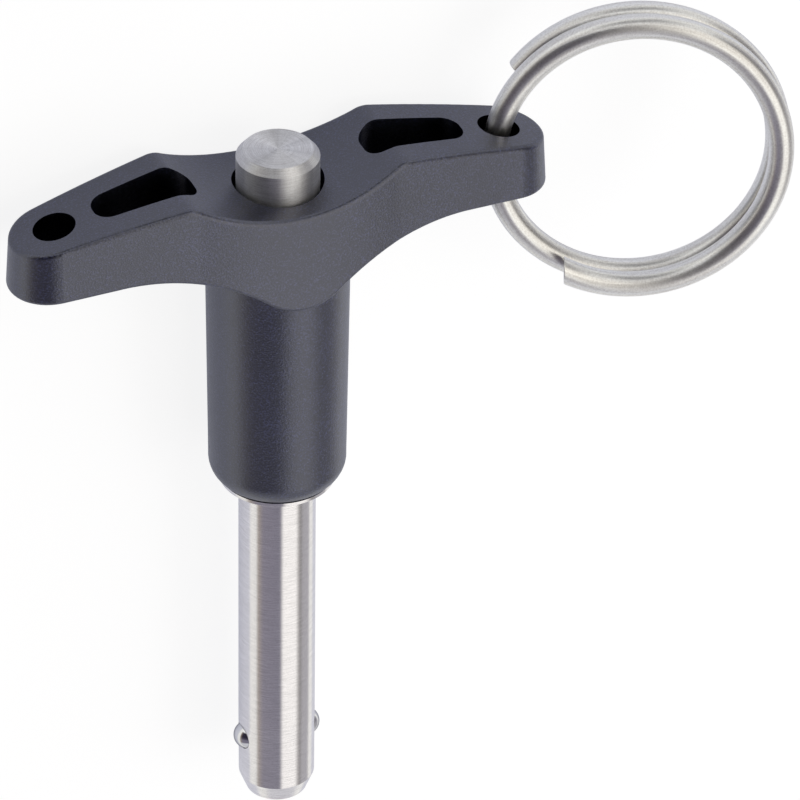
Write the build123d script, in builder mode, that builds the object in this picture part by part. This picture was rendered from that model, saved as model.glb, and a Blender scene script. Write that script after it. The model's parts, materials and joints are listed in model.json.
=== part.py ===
"""Self-locking ball lock pin, 8 mm shank and 30 mm grip, with a moulded T-handle and a split ring.

The pin lies on its back. Its axis runs along Y, with the push button towards +Y and the tip
towards -Y. The T-handle's bar runs along X, and the split ring hangs in the hole on the +X side.
The origin is on the pin's axis, on the face of the thin flange that stops the pin in its hole.
All sizes are in millimetres, and every height is along Y, measured from that face.
"""

from build123d import *
from math import atan, cos, radians, sin, sqrt, tan
import os

os.makedirs("parts", exist_ok=True)

# ---------------------------------------------------------------- driving dimensions
# shank
shank_r = 4.0
grip_length = 30.0
relief = 0.04
taper_start_y = -38.02
tip_y = -39.97
tip_r = 3.2
flange_r = 6.0
flange_top_y = 0.43
flange_break = 0.08
collar_r = 4.45
head_r = 5.2
head_top_y = 22.63
head_foot_y = 2.83
groove_low_y = 7.63
groove_high_y = 11.63
flute_count = 12
flute_r = 0.45
edge_break = 0.3

# balls and spindle
over_balls = 9.5
ball_r = 1.5
ball_y = -32.87
ball_sunk_depth = 0.05
press_travel = 4.0
ball_gap = 0.04
slide_gap = 0.06
stem_r = 1.35
stem_gap = 0.05
spindle_foot_y = -35.37
neck_length = 0.8
neck_slope_length = 1.6
spindle_shoulder_y = -23.37
spindle_top_y = 38.13

# push button and return spring
button_r = 4.284
button_flat_r = 3.616
button_rim_y = 39.585
button_top_y = 40.361
button_foot_y = 28.13
spring_pocket_r = 2.8
button_pocket_y = 34.63
head_pocket_y = 14.63
spring_wire_r = 0.27
spring_coil_r = 2.2
spring_turns = 6.5
spring_gap = 0.05

# T-handle: the bar seen from the front
bar_half_length = 28.65
dish_y = 36.28
dish_r = 22.0
crest_x = 11.3
crest_round_r = 2.5
bar_end_top_y = 35.73
bar_top_bulge = 0.25
arch_x = 17.0
arch_y = 31.35
arch_r = 21.2
arch_end_x = 19.2
bar_end_foot_y = 30.28
bar_foot_round_r = 0.35
keel_round_r = 6.0
# T-handle: the bar seen along the pin, its outline at the height of the button's top
bar_middle_half_width = 6.9
bar_end_r = 4.19
bar_draft = 3.0
bar_taper = 7.0
waist_x = 10.5
waist_round_r = 14.0
rim_round_r = 0.5
# T-handle: stem, bore, holes and windows
stem_top_r = 7.45
stem_foot_r = 7.12
stem_foot_y = 2.93
stem_foot_bulge = 0.42
stem_end_y = 29.4
foot_face_r = 5.75
button_bore_r = 4.733
ring_hole_x = 24.24
ring_hole_r = 2.177
window_inner_x = 9.2
window_inner_half_width = 2.85
window_inner_r = 2.1
window_outer_x = 20.07
window_outer_half_width = 1.95
window_outer_r = 1.85

# split ring: a close-wound coil threaded through the ring hole
ring_coil_r = 14.68
ring_wire_r = 1.31
ring_pitch = 2.66
ring_turns = 1.737
ring_mid_y = 33.36
ring_hang = 0.4
ring_swing = 16.9
ring_lean = 4.7
ring_far_end_angle = 143.8

# ---------------------------------------------------------------- derived dimensions
# Each ball sinks just below the shank's surface as the button goes down, and its centre moves
# evenly against the spindle. The spindle's ramp is parallel to that line, one ball radius and
# the gap nearer the axis.
ball_out_x = over_balls / 2 - ball_r
ball_travel = over_balls / 2 - shank_r + ball_sunk_depth
ramp_slope = ball_travel / press_travel
ramp_angle = atan(ramp_slope)
ramp_foot_y = ball_y - ball_r * sin(ramp_angle)
ramp_top_y = ramp_foot_y + press_travel
land_r = ball_out_x - ball_r * cos(ramp_angle) - ball_gap / cos(ramp_angle)
neck_r = land_r - ball_travel
neck_top_y = ramp_top_y + neck_length
guide_y = neck_top_y + neck_slope_length
bore_r = land_r + slide_gap
stem_bore_r = stem_r + stem_gap
pocket_r = ball_r + ball_gap
head_step = head_r - collar_r

# The bar's sides are tangent to its round ends and taper out to the waist, where they meet
# the gentle bulge round the stem.
bar_end_x = bar_half_length - bar_end_r
side_end_x = bar_end_x + bar_end_r * sin(radians(bar_taper))
side_end_half_width = bar_end_r * cos(radians(bar_taper))
waist_half_width = side_end_half_width + (side_end_x - waist_x) * tan(radians(bar_taper))
bulge_height = bar_middle_half_width - waist_half_width
bulge_r = (waist_x**2 + bulge_height**2) / (2 * bulge_height)

dish_centre_y = dish_y + dish_r
bar_reach_x = bar_half_length + 1
crest_y = dish_centre_y - sqrt(dish_r**2 - crest_x**2)
arch_centre_y = arch_y - arch_r
arch_end_y = arch_centre_y + sqrt(arch_r**2 - (arch_end_x - arch_x) ** 2)
keel_y = arch_centre_y + sqrt(arch_r**2 - arch_x**2)


# ---------------------------------------------------------------- shank
with BuildPart() as head_form:
    # the grooved and fluted head that the handle is moulded round
    with BuildSketch(Plane.XY):
        with BuildLine():
            Polyline(
                (0, 0),
                (flange_r - flange_break, 0),
                (flange_r, flange_break),
                (flange_r, flange_top_y),
                (collar_r, flange_top_y),
                (collar_r, head_foot_y - head_step),
                (head_r, head_foot_y),
                (head_r, groove_low_y),
                (collar_r, groove_low_y + head_step),
                (collar_r, groove_high_y - head_step),
                (head_r, groove_high_y),
                (head_r, head_top_y),
                (0, head_top_y),
                close=True,
            )
        make_face()
    revolve(axis=Axis.Y)
    with BuildSketch(Plane.XZ.offset(-head_top_y)):
        with PolarLocations(head_r + flute_r / 4, flute_count):
            Circle(flute_r)
    extrude(amount=head_top_y - groove_high_y - head_step, mode=Mode.SUBTRACT)

with BuildPart() as shank:
    add(head_form.part)
    # the ground blade, relieved a little past the grip and tapered at the tip
    with BuildSketch(Plane.XY):
        with BuildLine():
            Polyline(
                (0, 0),
                (shank_r, 0),
                (shank_r, -grip_length),
                (shank_r - relief, taper_start_y),
                (tip_r, tip_y),
                (0, tip_y),
                close=True,
            )
        make_face()
    revolve(axis=Axis.Y)
    # the stepped bore: the spindle's land slides in the wide lower stretch and its stem in the
    # narrow middle one, and the spring sits in the pocket at the top
    with BuildSketch(Plane.XY):
        with BuildLine():
            Polyline(
                (0, tip_y),
                (bore_r + edge_break, tip_y),
                (bore_r, tip_y + edge_break),
                (bore_r, spindle_shoulder_y + stem_gap),
                (stem_bore_r, spindle_shoulder_y + stem_gap),
                (stem_bore_r, head_pocket_y),
                (spring_pocket_r, head_pocket_y),
                (spring_pocket_r, head_top_y),
                (0, head_top_y),
                close=True,
            )
        make_face()
    revolve(axis=Axis.Y, mode=Mode.SUBTRACT)
    # the ball pockets: drilled out from the bore to the ball's seat, where the round end
    # closes to a lip at the surface
    with BuildSketch(Plane.XY):
        with BuildLine():
            Polyline(
                (ball_out_x, ball_y + pocket_r),
                (0, ball_y + pocket_r),
                (0, ball_y),
                (ball_out_x + pocket_r, ball_y),
            )
            CenterArc((ball_out_x, ball_y), pocket_r, 0, 90)
        make_face()
        mirror(about=Plane.YZ)
    revolve(axis=Axis((0, ball_y, 0), (1, 0, 0)), mode=Mode.SUBTRACT)

shank.part.label = "shank"
export_step(shank.part, "parts/shank.step")


# ---------------------------------------------------------------- spindle
with BuildPart() as spindle:
    # from the tip: the land that holds the balls out, the ramp and neck that they sink into,
    # the guide land with its stop shoulder, and the thin stem up to the button
    with BuildSketch(Plane.XY):
        with BuildLine():
            Polyline(
                (0, spindle_foot_y),
                (land_r - edge_break, spindle_foot_y),
                (land_r, spindle_foot_y + edge_break),
                (land_r, ramp_foot_y),
                (neck_r, ramp_top_y),
                (neck_r, neck_top_y),
                (land_r, guide_y),
                (land_r, spindle_shoulder_y),
                (stem_r, spindle_shoulder_y),
                (stem_r, spindle_top_y - edge_break),
                (stem_r - edge_break, spindle_top_y),
                (0, spindle_top_y),
                close=True,
            )
        make_face()
    revolve(axis=Axis.Y)

spindle.part.label = "spindle"
export_step(spindle.part, "parts/spindle.step")


# ---------------------------------------------------------------- locking balls
for side, side_sign in (("left", -1), ("right", 1)):
    with BuildPart() as ball:
        with Locations((side_sign * ball_out_x, ball_y, 0)):
            Sphere(ball_r)
    ball.part.label = f"ball_{side}"
    export_step(ball.part, f"parts/ball_{side}.step")


# ---------------------------------------------------------------- push button
with BuildPart() as push_button:
    # a turned cap: chamfered crown, blind hole pressed on the stem, spring pocket underneath
    with BuildSketch(Plane.XY):
        with BuildLine():
            Polyline(
                (0, spindle_top_y),
                (stem_r, spindle_top_y),
                (stem_r, button_pocket_y),
                (spring_pocket_r, button_pocket_y),
                (spring_pocket_r, button_foot_y),
                (button_r - edge_break, button_foot_y),
                (button_r, button_foot_y + edge_break),
                (button_r, button_rim_y),
                (button_flat_r, button_top_y),
                (0, button_top_y),
                close=True,
            )
        make_face()
    revolve(axis=Axis.Y)

push_button.part.label = "push_button"
export_step(push_button.part, "parts/push_button.step")


# ---------------------------------------------------------------- return spring
spring_foot_y = head_pocket_y + spring_gap
spring_length = button_pocket_y - spring_gap - spring_foot_y
with BuildPart() as return_spring:
    with BuildLine() as spring_coil:
        Helix(
            pitch=(spring_length - 2 * spring_wire_r) / spring_turns,
            height=spring_length - 2 * spring_wire_r,
            radius=spring_coil_r,
            center=(0, spring_foot_y + spring_wire_r, 0),
            direction=(0, 1, 0),
        )
    with BuildSketch(Plane(origin=spring_coil.line @ 0, z_dir=spring_coil.line % 0)):
        Circle(spring_wire_r)
    sweep(is_frenet=True)

return_spring.part.label = "return_spring"
export_step(return_spring.part, "parts/return_spring.step")


# ---------------------------------------------------------------- T-handle
with BuildSketch(Plane.XZ) as bar_plan:
    # the bar's outline seen along the pin, drawn for one quarter and mirrored
    with BuildLine():
        RadiusArc((0, bar_middle_half_width), (waist_x, waist_half_width), bulge_r)
        Line((waist_x, waist_half_width), (side_end_x, side_end_half_width))
        CenterArc((bar_end_x, 0), bar_end_r, 0, 90 - bar_taper)
        Polyline((bar_half_length, 0), (0, 0), (0, bar_middle_half_width))
    make_face()
    mirror(about=Plane.YZ)
    mirror(about=Plane.XZ)
    waist_corners = bar_plan.vertices().filter_by(lambda v: abs(abs(v.X) - waist_x) < 0.01)
    fillet(waist_corners, waist_round_r)

with BuildPart() as t_handle:
    # the bar as seen from the front: dished top, two crests, arched underside with a keel
    with BuildSketch(Plane.XY) as bar_front:
        with BuildLine():
            RadiusArc((0, dish_y), (crest_x, crest_y), -dish_r)
            SagittaArc((crest_x, crest_y), (bar_reach_x, bar_end_top_y), bar_top_bulge)
            Polyline(
                (bar_reach_x, bar_end_top_y),
                (bar_reach_x, bar_end_foot_y),
                (arch_end_x, arch_end_y),
            )
            RadiusArc((arch_end_x, arch_end_y), (0, keel_y), -arch_r)
            Line((0, keel_y), (0, dish_y))
        make_face()
        mirror(about=Plane.YZ)
        fillet(bar_front.vertices().group_by(Axis.Y)[0], keel_round_r)
        fillet(bar_front.vertices().group_by(Axis.Y)[-1], crest_round_r)
    extrude(amount=2 * bar_middle_half_width, both=True)
    # its sides are drafted, so it widens downwards
    bar_outline = Location((0, button_top_y, 0)) * bar_plan.sketch
    extrude(bar_outline, amount=button_top_y - stem_foot_y, taper=-bar_draft, mode=Mode.INTERSECT)
    top_rim = (
        t_handle.edges()
        .filter_by(lambda e: e.center().Y > bar_end_top_y - 0.5)
        .filter_by(Axis.Z, reverse=True)
    )
    fillet(top_rim, rim_round_r)
    foot_rim = (
        t_handle.edges()
        .filter_by(lambda e: abs(e.center().X) > bar_end_x and e.center().Y < bar_end_foot_y + 1)
        .filter_by(Axis.Z, reverse=True)
    )
    fillet(foot_rim, bar_foot_round_r)
    # the round stem, drafted, with a round foot
    with BuildSketch(Plane.XY):
        with BuildLine():
            Polyline(
                (foot_face_r, flange_top_y),
                (0, flange_top_y),
                (0, stem_end_y),
                (stem_top_r, stem_end_y),
                (stem_foot_r, stem_foot_y),
            )
            SagittaArc((stem_foot_r, stem_foot_y), (foot_face_r, flange_top_y), stem_foot_bulge)
        make_face()
    revolve(axis=Axis.Y)
    # the cavity left by the shank's head, the button's bore, the windows and the ring holes
    add(head_form.part, mode=Mode.SUBTRACT)
    with BuildSketch(Plane.XZ.offset(-head_top_y)):
        Circle(button_bore_r)
    extrude(amount=-button_top_y, mode=Mode.SUBTRACT)
    with BuildSketch(Plane.XZ) as window:
        with BuildLine():
            Polyline(
                (window_inner_x, window_inner_half_width),
                (window_inner_x, -window_inner_half_width),
                (window_outer_x, -window_outer_half_width),
                (window_outer_x, window_outer_half_width),
                close=True,
            )
        make_face()
        fillet(window.vertices().group_by(Axis.X)[0], window_inner_r)
        fillet(window.vertices().group_by(Axis.X)[-1], window_outer_r)
        with Locations((ring_hole_x, 0)):
            Circle(ring_hole_r)
        mirror(about=Plane.YZ)
    extrude(amount=-button_top_y, mode=Mode.SUBTRACT)

t_handle.part.label = "t_handle"
export_step(t_handle.part, "parts/t_handle.step")


# ---------------------------------------------------------------- split ring
# The coil's plane holds the line from the ring hole to the coil's centre, which swings up from
# the bar, and leans a little about that line.
to_centre = Vector(cos(radians(ring_swing)), 0, sin(radians(ring_swing)))
square_to_coil = Vector(-sin(radians(ring_swing)), 0, cos(radians(ring_swing)))
coil_axis = square_to_coil * cos(radians(ring_lean)) + Vector(0, 1, 0) * sin(radians(ring_lean))
coil_centre = Vector(ring_hole_x, ring_mid_y, 0) + to_centre * (ring_coil_r - ring_hang)
coil_height = ring_pitch * ring_turns
to_far_end = to_centre.rotate(Axis((0, 0, 0), coil_axis), ring_far_end_angle)
far_end_centre = coil_centre - coil_axis * (coil_height / 2)
coil_start = Plane(origin=far_end_centre, x_dir=to_far_end, z_dir=coil_axis)
ring_path = coil_start.location * Helix(ring_pitch, coil_height, ring_coil_r, lefthand=True)

with BuildPart() as split_ring:
    with BuildLine() as coil:
        add(ring_path)
    with BuildSketch(Plane(origin=coil.line @ 0, z_dir=coil.line % 0)):
        Circle(ring_wire_r)
    sweep(is_frenet=True)

split_ring.part.label = "split_ring"
export_step(split_ring.part, "parts/split_ring.step")
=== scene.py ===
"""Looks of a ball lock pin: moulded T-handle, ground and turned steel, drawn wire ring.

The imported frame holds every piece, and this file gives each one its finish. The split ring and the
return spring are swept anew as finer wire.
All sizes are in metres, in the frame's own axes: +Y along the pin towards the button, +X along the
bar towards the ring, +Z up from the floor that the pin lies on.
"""

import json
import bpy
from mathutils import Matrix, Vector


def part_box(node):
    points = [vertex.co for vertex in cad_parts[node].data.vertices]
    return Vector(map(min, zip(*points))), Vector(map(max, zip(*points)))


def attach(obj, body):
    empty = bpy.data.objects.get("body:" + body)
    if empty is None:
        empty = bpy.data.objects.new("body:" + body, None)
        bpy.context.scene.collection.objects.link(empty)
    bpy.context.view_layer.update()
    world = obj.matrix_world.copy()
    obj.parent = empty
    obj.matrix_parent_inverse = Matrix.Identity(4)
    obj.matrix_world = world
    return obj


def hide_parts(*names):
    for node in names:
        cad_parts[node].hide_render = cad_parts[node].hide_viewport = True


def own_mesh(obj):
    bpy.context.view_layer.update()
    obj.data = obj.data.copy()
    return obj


bl_info = {
    "name": "Ball lock pin",
    "version": (1, 0, 0),
    "blender": (4, 5, 0),
    "location": "View3D > Sidebar > Ball Lock Pin",
    "description": "Finishes the pieces of a ball lock pin and sets up its studio",
    "category": "Object",
}

from math import cos, pi, radians, sin

import bpy
import numpy as np
from mathutils import Matrix, Vector

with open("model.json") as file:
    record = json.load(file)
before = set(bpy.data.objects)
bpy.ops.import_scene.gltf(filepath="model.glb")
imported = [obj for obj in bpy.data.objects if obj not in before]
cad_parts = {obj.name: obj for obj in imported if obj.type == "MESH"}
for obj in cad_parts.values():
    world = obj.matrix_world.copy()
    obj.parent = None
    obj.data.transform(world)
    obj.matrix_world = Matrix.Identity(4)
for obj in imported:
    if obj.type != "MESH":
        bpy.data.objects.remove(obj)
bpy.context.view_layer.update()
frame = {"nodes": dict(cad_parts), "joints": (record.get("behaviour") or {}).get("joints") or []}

MM = 0.001
SPRING_LOW, SPRING_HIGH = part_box("return_spring")
SPRING_BEVEL = 0.02 * MM
FLOOR_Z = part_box("t_handle")[0].z
JOINTS = {joint["name"]: joint for joint in frame["joints"]}

# where painted shade may darken the bar inside: along its middle strip, which holds the windows
# and the ring holes, and round the button's bore, both above a height just under the wings
STRIP_HALF_WIDTH = 3.05 * MM
BORE_RADIUS = 4.95 * MM
CAVITY_FOOT_Y = 29.6 * MM


# ---------------------------------------------------------------- user settings
class BallPinHandle(bpy.types.PropertyGroup):
    """Moulded plastic of the T-handle."""

    colour: bpy.props.FloatVectorProperty(
        name="Plastic", description="Colour of the moulded plastic", subtype="COLOR",
        size=3, min=0, max=1, default=(0.0105, 0.0120, 0.0275),
    )
    roughness: bpy.props.FloatProperty(
        name="Roughness", description="Roughness of the moulded skin", subtype="FACTOR",
        min=0, max=1, default=0.28,
    )
    grain_size: bpy.props.FloatProperty(
        name="Grain", description="Size of one grain of the spark-eroded texture",
        subtype="DISTANCE", unit="LENGTH", default=0.20 * MM,
    )
    grain_depth: bpy.props.FloatProperty(
        name="Grain depth", description="Depth of the texture",
        subtype="DISTANCE", unit="LENGTH", default=0.036 * MM,
    )
    # reach of the painted shade inside the windows and holes
    cavity_shade_reach: bpy.props.FloatProperty(
        name="Cavity reach", description="How wide a window or hole still looks dark inside",
        subtype="DISTANCE", unit="LENGTH", default=7.0 * MM,
    )


class BallPinSteel(bpy.types.PropertyGroup):
    """Ground, turned and polished steel."""

    ground: bpy.props.FloatVectorProperty(
        name="Ground steel", description="Colour of the ground shank", subtype="COLOR",
        size=3, min=0, max=1, default=(0.86, 0.84, 0.84),
    )
    turned: bpy.props.FloatVectorProperty(
        name="Turned steel", description="Colour of the turned button", subtype="COLOR",
        size=3, min=0, max=1, default=(0.92, 0.905, 0.89),
    )
    polished: bpy.props.FloatVectorProperty(
        name="Polished steel", description="Colour of the locking balls", subtype="COLOR",
        size=3, min=0, max=1, default=(0.84, 0.84, 0.85),
    )
    line_spacing: bpy.props.FloatProperty(
        name="Tool lines", description="Spacing of the lines that grinding and turning leave",
        subtype="DISTANCE", unit="LENGTH", default=0.09 * MM,
    )
    line_depth: bpy.props.FloatProperty(
        name="Line depth", description="Depth of the tool lines",
        subtype="DISTANCE", unit="LENGTH", default=0.0005 * MM,
    )
    # reach of the painted shade in the gap round each ball
    seat_reach: bpy.props.FloatProperty(
        name="Seat reach", description="How wide a gap round a locking ball still looks dark",
        subtype="DISTANCE", unit="LENGTH", default=0.9 * MM,
    )


class BallPinRing(bpy.types.PropertyGroup):
    """Split ring of drawn wire, threaded through the hole of the +X wing."""

    colour: bpy.props.FloatVectorProperty(
        name="Wire", description="Colour of the drawn wire", subtype="COLOR",
        size=3, min=0, max=1, default=(0.98, 0.955, 0.91),
    )
    wire_radius: bpy.props.FloatProperty(
        name="Wire radius", description="Half the thickness of the wire",
        subtype="DISTANCE", unit="LENGTH", default=1.31 * MM,
    )
    coil_radius: bpy.props.FloatProperty(
        name="Coil radius", description="From the coil's axis to the middle of the wire",
        subtype="DISTANCE", unit="LENGTH", default=14.68 * MM,
    )
    pitch: bpy.props.FloatProperty(
        name="Pitch", description="Rise of the coil in one turn",
        subtype="DISTANCE", unit="LENGTH", default=2.66 * MM,
    )
    turns: bpy.props.FloatProperty(name="Turns", description="Turns of wire", default=1.737)
    swing: bpy.props.FloatProperty(
        name="Swing", description="Angle of the ring above the bar's plane",
        subtype="ANGLE", unit="ROTATION", default=radians(16.9),
    )
    lean: bpy.props.FloatProperty(
        name="Lean", description="Tilt of the coil about the line from the hole to its centre",
        subtype="ANGLE", unit="ROTATION", default=radians(4.7),
    )
    far_end: bpy.props.FloatProperty(
        name="Far end", description="Where the wire starts, as an angle round the coil",
        subtype="ANGLE", unit="ROTATION", default=radians(143.8),
    )
    hang: bpy.props.FloatProperty(
        name="Hang", description="How far the wire rests off the middle of its hole",
        subtype="DISTANCE", unit="LENGTH", default=0.4 * MM,
    )
    cut: bpy.props.FloatProperty(
        name="Cut", description="Way that the near end faces, as a turn up from the bar's line",
        subtype="ANGLE", unit="ROTATION", default=radians(23),
    )
    end_bevel: bpy.props.FloatProperty(
        name="End bevel", description="Bevel round the two ends of the wire",
        subtype="DISTANCE", unit="LENGTH", default=0.07 * MM,
    )


class BallPinSpring(bpy.types.PropertyGroup):
    """Return spring under the button."""

    colour: bpy.props.FloatVectorProperty(
        name="Spring wire", description="Colour of the spring wire", subtype="COLOR",
        size=3, min=0, max=1, default=(0.42, 0.42, 0.44),
    )
    wire_radius: bpy.props.FloatProperty(
        name="Wire radius", description="Half the thickness of the spring wire",
        subtype="DISTANCE", unit="LENGTH", default=0.27 * MM,
    )
    turns: bpy.props.FloatProperty(name="Turns", description="Turns of the spring", default=6.5)


class BallPinStage(bpy.types.PropertyGroup):
    """Camera, floor and light."""

    azimuth: bpy.props.FloatProperty(
        name="Azimuth", description="Camera's angle round the pin from its front, seen upright",
        subtype="ANGLE", unit="ROTATION", default=radians(-23.079),
    )
    elevation: bpy.props.FloatProperty(
        name="Elevation", description="Camera's angle above the handle's top, seen upright",
        subtype="ANGLE", unit="ROTATION", default=radians(35.419),
    )
    roll: bpy.props.FloatProperty(
        name="Roll", description="Camera's turn about its own line of sight",
        subtype="ANGLE", unit="ROTATION", default=radians(0.624),
    )
    distance: bpy.props.FloatProperty(
        name="Distance", description="From the camera to the point that it looks at",
        subtype="DISTANCE", unit="LENGTH", default=1.07203,
    )
    aim: bpy.props.FloatVectorProperty(
        name="Aim", description="Point that the camera looks at", subtype="TRANSLATION",
        unit="LENGTH", size=3, default=(13.572 * MM, 5.800 * MM, 0.241 * MM),
    )
    lens: bpy.props.FloatProperty(
        name="Lens", description="Focal length in millimetres on a 36 mm sensor",
        subtype="DISTANCE_CAMERA", unit="CAMERA", default=467.63,
    )
    floor_colour: bpy.props.FloatVectorProperty(
        name="Floor", description="Colour of the floor", subtype="COLOR",
        size=3, min=0, max=1, default=(0.80, 0.80, 0.80),
    )
    lamp_power: bpy.props.FloatProperty(
        name="Softbox", description="Power of the large softbox above", unit="POWER", default=1.1
    )


SETTINGS = {
    "ball_pin_handle": BallPinHandle,
    "ball_pin_steel": BallPinSteel,
    "ball_pin_ring": BallPinRing,
    "ball_pin_spring": BallPinSpring,
    "ball_pin_stage": BallPinStage,
}


# ---------------------------------------------------------------- node helpers
# a Mix node has sockets for each kind of value: these are its two colours and their mix
MIX_FIRST, MIX_SECOND, MIX_RESULT = 6, 7, 2

# rays by which a surface finds how much of the sky is hidden
SKY_SAMPLES = 12

BLACK = (0.0, 0.0, 0.0)
NEARLY_BLACK = (0.01, 0.01, 0.01)
WHITE = (1.0, 1.0, 1.0)


def new_material(name):
    """An empty node material and its Principled shader, linked to the output."""
    material = bpy.data.materials.new(name)
    material.use_nodes = True
    tree = material.node_tree
    tree.nodes.clear()
    output = tree.nodes.new("ShaderNodeOutputMaterial")
    shader = tree.nodes.new("ShaderNodeBsdfPrincipled")
    tree.links.new(shader.outputs["BSDF"], output.inputs["Surface"])
    return material, tree, shader


def add_node(tree, kind, inputs=None, **settings):
    """A node of that kind with its settings. An input is a value, or a socket to link from."""
    node = tree.nodes.new(kind)
    for key, value in settings.items():
        setattr(node, key, value)
    for key, value in (inputs or {}).items():
        if isinstance(value, bpy.types.NodeSocket):
            tree.links.new(value, node.inputs[key])
        else:
            node.inputs[key].default_value = value
    return node


def math_node(tree, operation, *values):
    """Result of one sum on values or sockets."""
    return add_node(
        tree, "ShaderNodeMath", dict(enumerate(values)), operation=operation
    ).outputs[0]


def new_group(name, inputs, outputs):
    """A shader group with named sockets: (name, socket type, default) in and (name, type) out."""
    group = bpy.data.node_groups.new(name, "ShaderNodeTree")
    for label, kind, default in inputs:
        socket = group.interface.new_socket(name=label, in_out="INPUT", socket_type=kind)
        socket.default_value = default
    for label, kind in outputs:
        group.interface.new_socket(name=label, in_out="OUTPUT", socket_type=kind)
    return group, group.nodes.new("NodeGroupInput"), group.nodes.new("NodeGroupOutput")


def place_group(tree, group, inputs):
    """That group in a material, with its own values."""
    return add_node(tree, "ShaderNodeGroup", inputs, node_tree=group)


def blend_values(tree, first, second, share):
    """Two values added, the first times its share and the second times the rest."""
    rest = math_node(tree, "MULTIPLY", second, 1 - share)
    return math_node(tree, "MULTIPLY_ADD", first, share, rest)


def map_range(tree, value, low, high, to_low=0.0, to_high=1.0, **settings):
    """A value that runs from low to high, stretched to run from to_low to to_high."""
    return add_node(
        tree, "ShaderNodeMapRange",
        {"Value": value, "From Min": low, "From Max": high, "To Min": to_low, "To Max": to_high},
        **settings,
    ).outputs["Result"]


def noise(tree, place, scale, detail, roughness=0.5):
    """A noise value at a place. A larger scale is finer, and more detail is more uneven."""
    return add_node(
        tree, "ShaderNodeTexNoise",
        {"Vector": place, "Scale": scale, "Detail": detail, "Roughness": roughness},
    ).outputs["Fac"]


def mix_colours(tree, share, first, second, **settings):
    """Two colours mixed: the first at a share of 0 and the second at 1.

    A colour is three numbers, or a socket to link from. The settings may name another blend.
    """
    colours = [
        colour if isinstance(colour, bpy.types.NodeSocket) else (*colour, 1)
        for colour in (first, second)
    ]
    return add_node(
        tree, "ShaderNodeMix",
        {"Factor": share, MIX_FIRST: colours[0], MIX_SECOND: colours[1]},
        data_type="RGBA", **settings,
    ).outputs[MIX_RESULT]


def shade_range(tree, value, low, high, at_low, at_high):
    """Two colours mixed by a value that runs from low to high."""
    return mix_colours(tree, map_range(tree, value, low, high), at_low, at_high)


def scaled(colour, factor):
    """A colour made lighter or darker."""
    return tuple(min(1.0, channel * factor) for channel in colour)


def around_axis(tree, place):
    """A place's X, Y and Z, its part square to the pin's axis and its distance from the axis."""
    axes = add_node(tree, "ShaderNodeSeparateXYZ", {"Vector": place}).outputs
    flat = add_node(
        tree, "ShaderNodeCombineXYZ", {"X": axes["X"], "Z": axes["Z"]}
    ).outputs["Vector"]
    away = add_node(
        tree, "ShaderNodeVectorMath", {0: flat}, operation="LENGTH"
    ).outputs["Value"]
    return axes, flat, away


def hidden_share(tree, reach, open_sky, closed_sky, most=1.0, **settings):
    """From 0 in the open to the most deep in a gap, by how much of the sky is hidden nearby."""
    sky = add_node(
        tree, "ShaderNodeAmbientOcclusion", {"Distance": reach}, samples=SKY_SAMPLES, **settings
    ).outputs["AO"]
    return map_range(tree, sky, open_sky, closed_sky, 0.0, most)


def raise_surface(tree, shader, height, depth):
    """Bumps the surface by a height from 0 to 1 times a depth."""
    bump = add_node(
        tree, "ShaderNodeBump", {"Height": height, "Distance": depth, "Strength": 1.0}
    )
    tree.links.new(bump.outputs["Normal"], shader.inputs["Normal"])


def dress(node, material):
    """Gives a frame node its finish."""
    node.data.materials.clear()
    node.data.materials.append(material)


def shared_group(name, maker):
    """The shared group of that name, made the first time that it is asked for."""
    return bpy.data.node_groups.get(name) or maker()


# ---------------------------------------------------------------- shared effects
def tool_lines_group():
    """Fine lines left by grinding and turning, round the Y axis.

    The line coordinate is height minus distance from the axis, so it runs along a cylinder's
    side, in towards the centre of a flat face and evenly over a chamfer between them. Wander
    breaks the lines into short streaks. The fan is painted reflection: lighter and darker wedges
    that change only with the angle round the axis, standing in for the highlight of a face that
    was spun to its finish.
    """
    group, given, result = new_group(
        "tool_lines",
        [
            ("Spacing", "NodeSocketFloat", 0.0001),
            ("Wander", "NodeSocketFloat", 40.0),
            ("Sparkle", "NodeSocketFloat", 9000.0),
        ],
        [("Height", "NodeSocketFloat"), ("Wear", "NodeSocketFloat"), ("Fan", "NodeSocketFloat")],
    )
    place = add_node(group, "ShaderNodeTexCoord").outputs["Object"]
    axes, flat, away = around_axis(group, place)
    along = math_node(group, "SUBTRACT", axes["Y"], away)
    across = add_node(
        group, "ShaderNodeCombineXYZ",
        {
            "X": math_node(group, "MULTIPLY", axes["X"], given.outputs["Wander"]),
            "Y": math_node(group, "DIVIDE", along, given.outputs["Spacing"]),
            "Z": math_node(group, "MULTIPLY", axes["Z"], given.outputs["Wander"]),
        },
    ).outputs["Vector"]
    fine = noise(group, across, scale=1.0, detail=3.0, roughness=0.7)
    sparkle = noise(group, place, scale=given.outputs["Sparkle"], detail=1.0)
    wear = blend_values(group, fine, sparkle, share=0.7)
    outward = add_node(
        group, "ShaderNodeVectorMath", {0: flat}, operation="NORMALIZE"
    ).outputs["Vector"]
    # painted reflection: lighter and darker wedges round the axis, standing in for a spun face's
    # highlight
    fan = noise(group, outward, scale=0.9, detail=4.0, roughness=0.6)
    group.links.new(fine, result.inputs["Height"])
    group.links.new(wear, result.inputs["Wear"])
    group.links.new(fan, result.inputs["Fan"])
    return group


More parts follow.
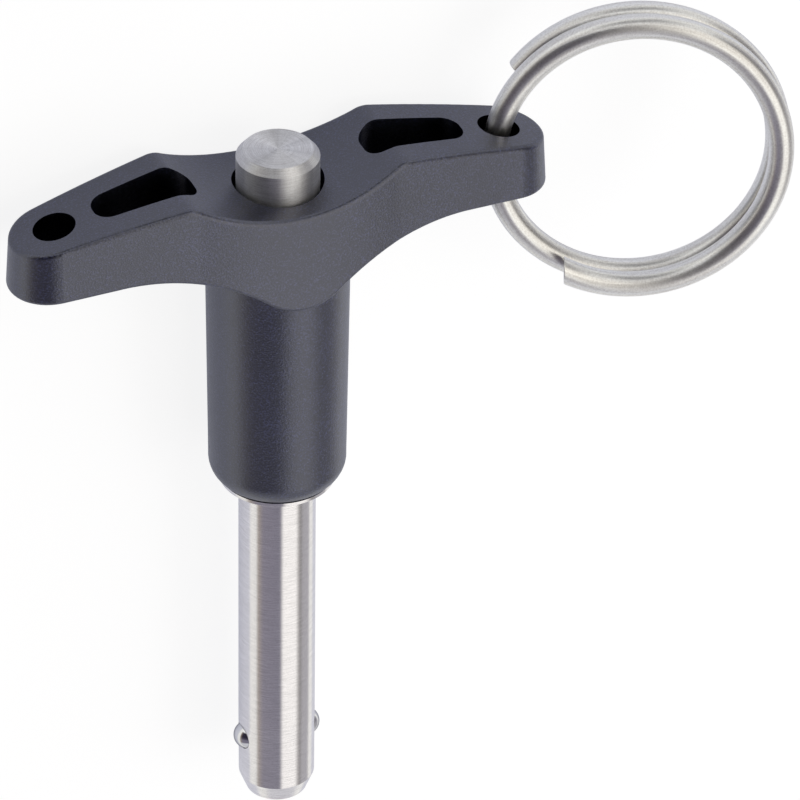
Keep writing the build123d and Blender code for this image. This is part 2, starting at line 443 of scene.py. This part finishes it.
def drawn_wire_group():
    """Streaks and pits of drawn wire, on the wire as it lay before it was coiled.

    The attribute holds each point's place on the straight wire, with its length along Z.
    """
    group, given, result = new_group(
        "drawn_wire",
        [("Streak", "NodeSocketFloat", 2500.0), ("Pits", "NodeSocketFloat", 5200.0)],
        [("Height", "NodeSocketFloat"), ("Streaks", "NodeSocketFloat")],
    )
    place = add_node(group, "ShaderNodeAttribute", attribute_name="straight_wire").outputs["Vector"]
    stretched = add_node(
        group, "ShaderNodeMapping", {"Vector": place, "Scale": (1.0, 1.0, 0.03)}
    ).outputs["Vector"]
    streaks = noise(
        group, stretched, scale=given.outputs["Streak"], detail=3.0, roughness=0.65
    )
    pits = noise(group, place, scale=given.outputs["Pits"], detail=2.0, roughness=0.6)
    height = blend_values(group, streaks, pits, share=0.55)
    group.links.new(height, result.inputs["Height"])
    group.links.new(streaks, result.inputs["Streaks"])
    return group


# ---------------------------------------------------------------- materials
def moulded_plastic(settings):
    """Glass-filled nylon with a fine spark-eroded grain and paler specks of fibre.

    The windows, ring holes and button's bore get painted shade: nearly black inside, with no shine.
    """
    material, tree, shader = new_material("moulded_plastic")
    place = add_node(tree, "ShaderNodeTexCoord").outputs["Object"]
    grain = noise(tree, place, scale=1 / settings.grain_size, detail=2.0, roughness=0.7)
    clouds = noise(tree, place, scale=160.0, detail=3.0)
    colour = shade_range(
        tree, blend_values(tree, grain, clouds, share=0.85), low=0.49, high=0.70,
        at_low=scaled(settings.colour, 0.25), at_high=scaled(settings.colour, 5.0),
    )
    # painted shade: where much of the nearby sky is hidden inside the bar, the colour goes to black
    # and the surface to black metal, which takes its shine away
    deep = hidden_share(
        tree, settings.cavity_shade_reach, open_sky=0.86, closed_sky=0.55, only_local=True
    )
    hidden = math_node(tree, "MULTIPLY", deep, inside_bar(tree, place))
    tree.links.new(mix_colours(tree, hidden, colour, BLACK), shader.inputs["Base Color"])
    tree.links.new(hidden, shader.inputs["Metallic"])
    shader.inputs["Roughness"].default_value = settings.roughness
    shader.inputs["IOR"].default_value = 1.69
    shader.inputs["Specular IOR Level"].default_value = 1.0
    shader.inputs["Specular Tint"].default_value = (0.84, 0.86, 1.0, 1)
    raise_surface(tree, shader, grain, settings.grain_depth)
    return material


def inside_bar(tree, place):
    """1 in the bar's middle strip or round its bore, above the wings' foot, and 0 elsewhere."""
    axes, _, away = around_axis(tree, place)
    beside = math_node(tree, "ABSOLUTE", axes["Z"])
    strip = math_node(tree, "LESS_THAN", beside, STRIP_HALF_WIDTH)
    bore = math_node(tree, "LESS_THAN", away, BORE_RADIUS)
    above = math_node(tree, "GREATER_THAN", axes["Y"], CAVITY_FOOT_Y)
    return math_node(tree, "MULTIPLY", math_node(tree, "MAXIMUM", strip, bore), above)


def tooled_steel(
    name, group, settings, colour, roughness, anisotropy, wander, coarseness, contrast, fan
):
    """Bare steel with tool lines round the pin's axis.

    Wander sets how short a line's streaks are, coarseness how many times the set depth they are
    cut, contrast how much they differ in tone, and fan how much darker the painted reflection
    wedges make the steel in places round the axis.
    """
    material, tree, shader = new_material(name)
    lines = place_group(tree, group, {"Spacing": settings.line_spacing, "Wander": wander})
    shade = shade_range(
        tree, lines.outputs["Wear"], low=0.38, high=0.62,
        at_low=scaled(colour, 1 - contrast), at_high=scaled(colour, 1 + contrast),
    )
    # painted reflection: the fan darkens the steel in wedges round the axis
    uneven = shade_range(
        tree, lines.outputs["Fan"], low=0.35, high=0.65,
        at_low=scaled(WHITE, 1 - fan), at_high=WHITE,
    )
    tree.links.new(
        mix_colours(tree, 1.0, shade, uneven, blend_type="MULTIPLY"), shader.inputs["Base Color"]
    )
    shader.inputs["Metallic"].default_value = 1.0
    shader.inputs["Roughness"].default_value = roughness
    shader.inputs["Anisotropic"].default_value = anisotropy
    # a quarter turn, so that highlights stretch across the lines
    shader.inputs["Anisotropic Rotation"].default_value = 0.25
    round_axis = add_node(tree, "ShaderNodeTangent", direction_type="RADIAL", axis="Y")
    tree.links.new(round_axis.outputs["Tangent"], shader.inputs["Tangent"])
    raise_surface(tree, shader, lines.outputs["Height"], coarseness * settings.line_depth)
    return material


def polished_steel(settings):
    """Hardened bearing steel, nearly a mirror, with a faint haze of handling marks.

    Painted shade makes the gap between a ball and its pocket nearly black.
    """
    material, tree, shader = new_material("polished_steel")
    place = add_node(tree, "ShaderNodeTexCoord").outputs["Object"]
    haze = noise(tree, place, scale=900.0, detail=4.0)
    colour = shade_range(
        tree, haze, low=0.35, high=0.65,
        at_low=scaled(settings.polished, 0.96), at_high=scaled(settings.polished, 1.03),
    )
    # painted shade: nearly black where the ball sits in its pocket and the nearby sky is hidden
    painted_seat_shade = hidden_share(tree, settings.seat_reach, open_sky=0.78, closed_sky=0.42, most=0.96)
    tree.links.new(mix_colours(tree, painted_seat_shade, colour, NEARLY_BLACK), shader.inputs["Base Color"])
    shine = map_range(tree, haze, low=0.3, high=0.7, to_low=0.05, to_high=0.10)
    tree.links.new(shine, shader.inputs["Roughness"])
    shader.inputs["Metallic"].default_value = 1.0
    shader.inputs["Specular Tint"].default_value = (0.30, 0.30, 0.32, 1)
    return material


def wire_steel(name, group, colour, roughness, streak, depth):
    """Drawn wire with lengthwise streaks and small pits."""
    material, tree, shader = new_material(name)
    wire = place_group(tree, group, {"Streak": streak, "Pits": 2 * streak})
    shade = shade_range(
        tree, wire.outputs["Height"], low=0.36, high=0.62,
        at_low=scaled(colour, 0.74), at_high=scaled(colour, 1.06),
    )
    tree.links.new(shade, shader.inputs["Base Color"])
    shader.inputs["Metallic"].default_value = 1.0
    shine = map_range(
        tree, wire.outputs["Streaks"], low=0.3, high=0.7,
        to_low=roughness * 1.25, to_high=roughness * 0.8,
    )
    tree.links.new(shine, shader.inputs["Roughness"])
    raise_surface(tree, shader, wire.outputs["Height"], depth)
    return material


# ---------------------------------------------------------------- wire surfaces
RIM_STEPS = 5


def wire_points(centres, outward, radius, bevel, around, cut):
    """Rings of points round a wire carried along a path, and where each lay on the straight wire.

    A point is centre(s) + r(s) * (cos(a) * outward(s) + sin(a) * side(s)), where side is the
    path's direction crossed with outward. r(s) is the wire's radius, less a quarter round of the
    bevel's size at the two ends. A cut is the direction that the last end faces, for a wire that
    was cut aslant there: each point slides along the wire until the end ring lies square to that
    direction, and the slide fades to nothing over three radii. On the straight wire, a point is
    (r(s) * cos(a), r(s) * sin(a), s).
    """
    direction = np.gradient(centres, axis=0)
    direction /= np.linalg.norm(direction, axis=1)[:, None]
    steps = np.linalg.norm(np.diff(centres, axis=0), axis=1)
    length = np.concatenate([[0], np.cumsum(steps)])
    # stations along the wire: close together on each rounded rim and just past it, then even
    turn = np.linspace(0, pi / 2, RIM_STEPS)
    rim = np.concatenate([bevel * (1 - np.cos(turn)), [1.5 * bevel]])
    middle = np.linspace(3 * bevel, length[-1] - 3 * bevel, len(centres))
    station = np.concatenate([rim, middle, length[-1] - rim[::-1]])

    def along(values):
        return np.stack([np.interp(station, length, values[:, k]) for k in range(3)], axis=-1)

    middle_line, outward, direction = along(centres), along(outward), along(direction)
    side = np.cross(direction, outward)
    from_end = np.minimum(station, length[-1] - station)
    short = np.clip(1 - from_end / bevel, 0, 1)
    full = radius - bevel * (1 - np.sqrt(1 - short**2))
    angle = np.linspace(0, 2 * pi, around, endpoint=False)
    offset = full[:, None, None] * (
        np.cos(angle)[None, :, None] * outward[:, None, :]
        + np.sin(angle)[None, :, None] * side[:, None, :]
    )
    points = middle_line[:, None, :] + offset
    if cut is not None:
        fade = np.clip(1 - (length[-1] - station) / (3 * radius), 0, 1)
        slide = -(offset @ cut) / (direction @ cut)[:, None]
        points += (fade[:, None] * slide)[:, :, None] * direction[:, None, :]
    straight = np.stack(
        np.broadcast_arrays(
            full[:, None] * np.cos(angle), full[:, None] * np.sin(angle), station[:, None]
        ),
        axis=-1,
    )
    return points, straight


def wire_surface(name, centres, outward, radius, bevel, around, material, cut=None):
    """A round wire carried along a path, as a closed surface with a flat cap at each end.

    Four-sided faces join each ring of points to the next. The attribute straight_wire keeps
    where each point lay on the straight wire, for the finish to follow.
    """
    points, straight = wire_points(centres, outward, radius, bevel, around, cut)
    count = len(points)
    row, column = np.meshgrid(np.arange(count - 1), np.arange(around), indexing="ij")
    beside = (column + 1) % around
    quads = np.stack(
        [
            row * around + column,
            row * around + beside,
            (row + 1) * around + beside,
            (row + 1) * around + column,
        ],
        axis=-1,
    ).reshape(-1, 4)
    first_cap = list(range(around - 1, -1, -1))
    last_cap = list(range((count - 1) * around, count * around))
    mesh = bpy.data.meshes.new(name)
    mesh.from_pydata(points.reshape(-1, 3), [], [*quads.tolist(), first_cap, last_cap])
    place = mesh.attributes.new("straight_wire", "FLOAT_VECTOR", "POINT")
    place.data.foreach_set("vector", straight.reshape(-1).astype(np.float32))
    # all is smooth but the two caps, which are the last faces
    smooth = np.ones(len(mesh.polygons), bool)
    smooth[-2:] = False
    mesh.polygons.foreach_set("use_smooth", smooth)
    mesh.materials.append(material)
    mesh.update()
    piece = bpy.data.objects.new(name, mesh)
    bpy.context.scene.collection.objects.link(piece)
    return piece


def helix(centre, x_axis, y_axis, axis, radius, height, turns, start, count):
    """Points of a helix and the way out from its axis at each.

    A point is centre + radius * out + axis * height * (t - 1/2), where out turns from the start
    angle by that many turns as t runs from 0 to 1; a negative number of turns is left-handed.
    """
    t = np.linspace(0, 1, count)[:, None]
    angle = start + 2 * pi * turns * t
    out = np.cos(angle) * x_axis + np.sin(angle) * y_axis
    return centre + radius * out + axis * height * (t - 0.5), out


# ---------------------------------------------------------------- pieces
class PinOperator(bpy.types.Operator):
    """What the pieces' operators share."""

    bl_options = {"REGISTER", "UNDO"}


class BALLPIN_OT_handle(PinOperator):
    """Finish the moulded T-handle"""

    bl_idname = "ballpin.handle"
    bl_label = "Moulded handle"

    def execute(self, context):
        dress(frame["nodes"]["t_handle"], moulded_plastic(context.scene.ball_pin_handle))
        return {"FINISHED"}


class BALLPIN_OT_turned(PinOperator):
    """Finish the ground shank, the spindle and the turned button"""

    bl_idname = "ballpin.turned"
    bl_label = "Ground and turned steel"

    def execute(self, context):
        steel = context.scene.ball_pin_steel
        lines = shared_group("tool_lines", tool_lines_group)
        ground = tooled_steel(
            "ground_steel", lines, steel, steel.ground, roughness=0.19, anisotropy=0.5,
            wander=600.0, coarseness=1.0, contrast=0.12, fan=0.0,
        )
        turned = tooled_steel(
            "turned_steel", lines, steel, steel.turned, roughness=0.46, anisotropy=0.7,
            wander=500.0, coarseness=3.0, contrast=0.20, fan=0.34,
        )
        dress(frame["nodes"]["shank"], ground)
        dress(frame["nodes"]["spindle"], turned)
        dress(frame["nodes"]["push_button"], turned)
        return {"FINISHED"}


class BALLPIN_OT_balls(PinOperator):
    """Finish the two locking balls"""

    bl_idname = "ballpin.balls"
    bl_label = "Locking balls"

    def execute(self, context):
        polished = polished_steel(context.scene.ball_pin_steel)
        for side in ("left", "right"):
            dress(frame["nodes"][f"ball_{side}"], polished)
        return {"FINISHED"}


class BALLPIN_OT_ring(PinOperator):
    """Coil the split ring through the hole of the +X wing"""

    bl_idname = "ballpin.ring"
    bl_label = "Split ring"

    def execute(self, context):
        ring = context.scene.ball_pin_ring
        hinge = np.array(JOINTS["ring_swing"]["pos_m"])
        to_centre = np.array([cos(ring.swing), 0, sin(ring.swing)])
        square = np.array([-sin(ring.swing), 0, cos(ring.swing)])
        axis = square * cos(ring.lean) + np.array([0, sin(ring.lean), 0])
        centre = hinge + to_centre * (ring.coil_radius - ring.hang)
        centres, outward = helix(
            centre, to_centre, np.cross(axis, to_centre), axis, ring.coil_radius,
            height=ring.pitch * ring.turns, turns=-ring.turns, start=ring.far_end, count=420,
        )
        lines = shared_group("drawn_wire", drawn_wire_group)
        steel = wire_steel(
            "drawn_steel", lines, ring.colour, roughness=0.35, streak=2600.0, depth=0.006 * MM
        )
        piece = wire_surface(
            "ring_wire", centres, outward, ring.wire_radius, ring.end_bevel, around=64,
            material=steel, cut=np.array([cos(ring.cut), 0, sin(ring.cut)]),
        )
        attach(piece, "ring")
        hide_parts("split_ring")
        return {"FINISHED"}


class BALLPIN_OT_spring(PinOperator):
    """Wind the return spring"""

    bl_idname = "ballpin.spring"
    bl_label = "Return spring"

    def execute(self, context):
        spring = context.scene.ball_pin_spring
        length = SPRING_HIGH.y - SPRING_LOW.y
        middle = np.array([0, (SPRING_LOW.y + SPRING_HIGH.y) / 2, 0])
        centres, outward = helix(
            middle, np.array([1.0, 0, 0]), np.array([0, 0, -1.0]), np.array([0, 1.0, 0]),
            SPRING_HIGH.x - spring.wire_radius, height=length - 2 * spring.wire_radius,
            turns=spring.turns, start=0.0, count=320,
        )
        lines = shared_group("drawn_wire", drawn_wire_group)
        steel = wire_steel(
            "spring_steel", lines, spring.colour, roughness=0.35, streak=6000.0, depth=0.002 * MM
        )
        piece = wire_surface(
            "spring_wire", centres, outward, spring.wire_radius, SPRING_BEVEL, around=20,
            material=steel,
        )
        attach(piece, "handle")
        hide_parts("return_spring")
        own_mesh(piece)
        return {"FINISHED"}


# ---------------------------------------------------------------- stage
FLOOR_HALF_SIDE = 3.0

# shares of the floor that shine by themselves, to the camera and in reflections, and how much
# brighter than plain white the first one is, to make up for the share that is lit
FLOOR_WHITE_SHARE = 0.76
FLOOR_SHEEN_SHARE = 0.60
FLOOR_WHITE_GAIN = 0.15

# brightness of the studio round the pin's axis, as (turn from +Z towards +X in degrees, level)
STUDIO_BANDS = (
    (-180, (0.58, 0.58, 0.62)),
    (-114, (0.55, 0.55, 0.59)),
    (-103, (0.92, 0.92, 0.92)),
    (-88, (0.92, 0.92, 0.90)),
    (-80, (0.36, 0.31, 0.27)),
    (-64, (0.205, 0.19, 0.24)),
    (-12, (0.165, 0.155, 0.205)),
    (-3, (1.08, 1.06, 1.03)),
    (37, (1.08, 1.06, 1.03)),
    (46, (0.45, 0.43, 0.42)),
    (53, (0.22, 0.21, 0.21)),
    (62, (0.42, 0.41, 0.43)),
    (78, (0.42, 0.41, 0.44)),
    (180, (0.58, 0.58, 0.62)),
)

# how much the bands' gamma rises overhead
BAND_DEEPENING = 1.2

# brightness past the two ends of the pin's axis: reflections meet a lit ring with a dark middle
# past the button and pale grey past the tip, and all other rays meet a dim grey
BUTTON_END_RING = (1.05, 1.05, 1.05)
BUTTON_END_MIDDLE = (0.10, 0.10, 0.12)
TIP_END = (0.62, 0.62, 0.66)
DIM_END = (0.22, 0.23, 0.26)


def ray_kinds(tree):
    """Light Path's values, and one that is 1 for what the camera sees straight or through glass."""
    rays = add_node(tree, "ShaderNodeLightPath").outputs
    return rays, math_node(tree, "MAXIMUM", rays["Is Camera Ray"], rays["Is Transmission Ray"])


def white_floor(settings):
    """A pale floor that keeps the pin's shadow and shows white to the camera.

    Polished metal sees it as a dim pale sheet below and as a bright one towards the horizon.
    """
    material = bpy.data.materials.new("pale_floor")
    material.use_nodes = True
    tree = material.node_tree
    tree.nodes.clear()
    rays, direct = ray_kinds(tree)
    slant = add_node(tree, "ShaderNodeLayerWeight", {"Blend": 0.5}).outputs["Facing"]
    sheen = shade_range(
        tree, slant, low=0.66, high=0.76, at_low=(0.70, 0.72, 0.83), at_high=(1.12, 1.12, 1.08)
    )
    level = math_node(tree, "MULTIPLY_ADD", direct, FLOOR_WHITE_GAIN, 1.0)
    shining = add_node(
        tree, "ShaderNodeEmission",
        {"Color": mix_colours(tree, direct, sheen, WHITE), "Strength": level},
    )
    lit = add_node(tree, "ShaderNodeBsdfDiffuse", {"Color": (*settings.floor_colour, 1)})
    share = math_node(
        tree, "ADD",
        math_node(tree, "MULTIPLY", direct, FLOOR_WHITE_SHARE),
        math_node(tree, "MULTIPLY", rays["Is Glossy Ray"], FLOOR_SHEEN_SHARE),
    )
    mix = add_node(
        tree, "ShaderNodeMixShader", {"Fac": share, 1: lit.outputs[0], 2: shining.outputs[0]}
    )
    output = add_node(tree, "ShaderNodeOutputMaterial")
    tree.links.new(mix.outputs[0], output.inputs["Surface"])
    return material


def band_light(tree, axes):
    """Light of the bands, which are found by the turn round the pin's axis, atan2(x, z).

    Where a direction points up and not much towards the tip, a gamma makes dark bands darker.
    """
    turn = math_node(tree, "ARCTAN2", axes["X"], axes["Z"])
    share = math_node(tree, "MULTIPLY_ADD", turn, 1 / (2 * pi), 0.5)
    ramp = add_node(tree, "ShaderNodeValToRGB", {"Fac": share})
    stops = ramp.color_ramp.elements
    while len(stops) < len(STUDIO_BANDS):
        stops.new(1.0)
    for stop, (angle, level) in zip(stops, STUDIO_BANDS):
        stop.position = (angle + 180) / 360
        stop.color = (*level, 1)
    from_tip = map_range(tree, axes["Y"], low=-0.30, high=0.15)
    upwards = map_range(tree, axes["Z"], low=0.1, high=0.4)
    overhead = math_node(tree, "MULTIPLY", from_tip, upwards)
    gamma = math_node(tree, "MULTIPLY_ADD", overhead, BAND_DEEPENING, 1.0)
    return add_node(
        tree, "ShaderNodeGamma", {"Color": ramp.outputs["Color"], "Gamma": gamma}
    ).outputs["Color"]


def end_light(tree, axes, reflected):
    """Light past the two ends of the pin's axis, where reflected is 1 for reflections."""
    button_end = shade_range(
        tree, axes["Y"], low=0.84, high=0.93, at_low=BUTTON_END_RING, at_high=BUTTON_END_MIDDLE
    )
    at_button = math_node(tree, "GREATER_THAN", axes["Y"], 0.0)
    return mix_colours(
        tree, reflected, DIM_END, mix_colours(tree, at_button, TIP_END, button_end)
    )


def studio_world():
    """Soft studio round the pin: white to the camera, and bright and dark bands elsewhere.

    The bands turn about the pin's axis. Near its two ends they fade into the light of the ends.
    """
    world = bpy.data.worlds.new("studio")
    bpy.context.scene.world = world
    world.use_nodes = True
    tree = world.node_tree
    tree.nodes.clear()
    direction = add_node(tree, "ShaderNodeTexCoord").outputs["Generated"]
    axes = add_node(tree, "ShaderNodeSeparateXYZ", {"Vector": direction}).outputs
    rays, direct = ray_kinds(tree)
    endwards = map_range(
        tree, math_node(tree, "ABSOLUTE", axes["Y"]), low=0.60, high=0.78,
        interpolation_type="SMOOTHSTEP",
    )
    studio = mix_colours(
        tree, endwards, band_light(tree, axes), end_light(tree, axes, rays["Is Glossy Ray"])
    )
    background = add_node(
        tree, "ShaderNodeBackground",
        {"Color": mix_colours(tree, direct, studio, WHITE), "Strength": 1.0},
    )
    output = add_node(tree, "ShaderNodeOutputWorld")
    tree.links.new(background.outputs[0], output.inputs["Surface"])


def softbox(name, centre, aim, size, power):
    """A square area lamp at a point, turned to face another and left out of reflections."""
    lamp = bpy.data.lights.new(name, "AREA")
    lamp.size = size
    lamp.energy = power
    lamp_object = bpy.data.objects.new(name, lamp)
    lamp_object.location = centre
    lamp_object.rotation_euler = (Vector(aim) - Vector(centre)).to_track_quat("-Z", "Y").to_euler()
    # the studio's bands stand for its reflection
    lamp_object.visible_glossy = False
    bpy.context.scene.collection.objects.link(lamp_object)


class BALLPIN_OT_stage(PinOperator):
    """Set up the camera, the floor and the soft light"""

    bl_idname = "ballpin.stage"
    bl_label = "Stage"

    def execute(self, context):
        stage = context.scene.ball_pin_stage
        context.scene.view_settings.view_transform = "Standard"
        self.make_camera(context.scene, stage)
        self.make_floor(stage)
        studio_world()
        softbox(
            "softbox", centre=(0.38, -0.05, 0.38), aim=(0.01, 0.0, 0.0), size=0.45,
            power=stage.lamp_power,
        )
        return {"FINISHED"}

    def make_camera(self, scene, stage):
        """Places the camera by its angles on the upright pin.

        Upright, the pin's axis is up and its front faces -Y; lying, (x, y, z) is (x, z, -y).
        """
        azimuth, elevation, roll = stage.azimuth, stage.elevation, stage.roll
        back = Vector(
            (sin(azimuth) * cos(elevation), sin(elevation), cos(azimuth) * cos(elevation))
        )
        level_right = Vector((cos(azimuth), 0, -sin(azimuth)))
        level_up = back.cross(level_right)
        right = level_right * cos(roll) + level_up * sin(roll)
        up = back.cross(right)
        camera = bpy.data.cameras.new("camera")
        camera.sensor_width = 36.0
        camera.lens = stage.lens
        camera.clip_start = 0.01
        camera.clip_end = 20.0
        camera_object = bpy.data.objects.new("camera", camera)
        turn = Matrix((right, up, back)).transposed().to_4x4()
        camera_object.matrix_world = (
            Matrix.Translation(Vector(stage.aim) + back * stage.distance) @ turn
        )
        scene.collection.objects.link(camera_object)
        scene.camera = camera_object

    def make_floor(self, stage):
        """A square floor under the lowest point of the handle."""
        corners = ((-1, -1), (1, -1), (1, 1), (-1, 1))
        mesh = bpy.data.meshes.new("floor")
        mesh.from_pydata(
            [(FLOOR_HALF_SIDE * x, FLOOR_HALF_SIDE * y, FLOOR_Z) for x, y in corners],
            [], [(0, 1, 2, 3)],
        )
        mesh.materials.append(white_floor(stage))
        floor = bpy.data.objects.new("floor", mesh)
        bpy.context.scene.collection.objects.link(floor)


# ---------------------------------------------------------------- add-on
OPERATORS = (
    BALLPIN_OT_handle,
    BALLPIN_OT_turned,
    BALLPIN_OT_balls,
    BALLPIN_OT_ring,
    BALLPIN_OT_spring,
    BALLPIN_OT_stage,
)


class BALLPIN_PT_sidebar(bpy.types.Panel):
    """The pin's pieces and their settings"""

    bl_idname = "BALLPIN_PT_sidebar"
    bl_label = "Ball Lock Pin"
    bl_space_type = "VIEW_3D"
    bl_region_type = "UI"
    bl_category = "Ball Lock Pin"

    def draw(self, context):
        for operator in OPERATORS:
            self.layout.operator(operator.bl_idname)
        for name, group in SETTINGS.items():
            box = self.layout.box()
            for setting in group.__annotations__:
                box.prop(getattr(context.scene, name), setting)


def register():
    for group in SETTINGS.values():
        bpy.utils.register_class(group)
    for operator in OPERATORS:
        bpy.utils.register_class(operator)
    bpy.utils.register_class(BALLPIN_PT_sidebar)
    for name, group in SETTINGS.items():
        setattr(bpy.types.Scene, name, bpy.props.PointerProperty(type=group))


def unregister():
    for name in SETTINGS:
        delattr(bpy.types.Scene, name)
    bpy.utils.unregister_class(BALLPIN_PT_sidebar)
    for operator in reversed(OPERATORS):
        bpy.utils.unregister_class(operator)
    for group in reversed(SETTINGS.values()):
        bpy.utils.unregister_class(group)


def main():
    register()
    bpy.ops.ballpin.handle()
    bpy.ops.ballpin.turned()
    bpy.ops.ballpin.balls()
    bpy.ops.ballpin.ring()
    bpy.ops.ballpin.spring()
    bpy.ops.ballpin.stage()


if __name__ == "__main__":
    main()
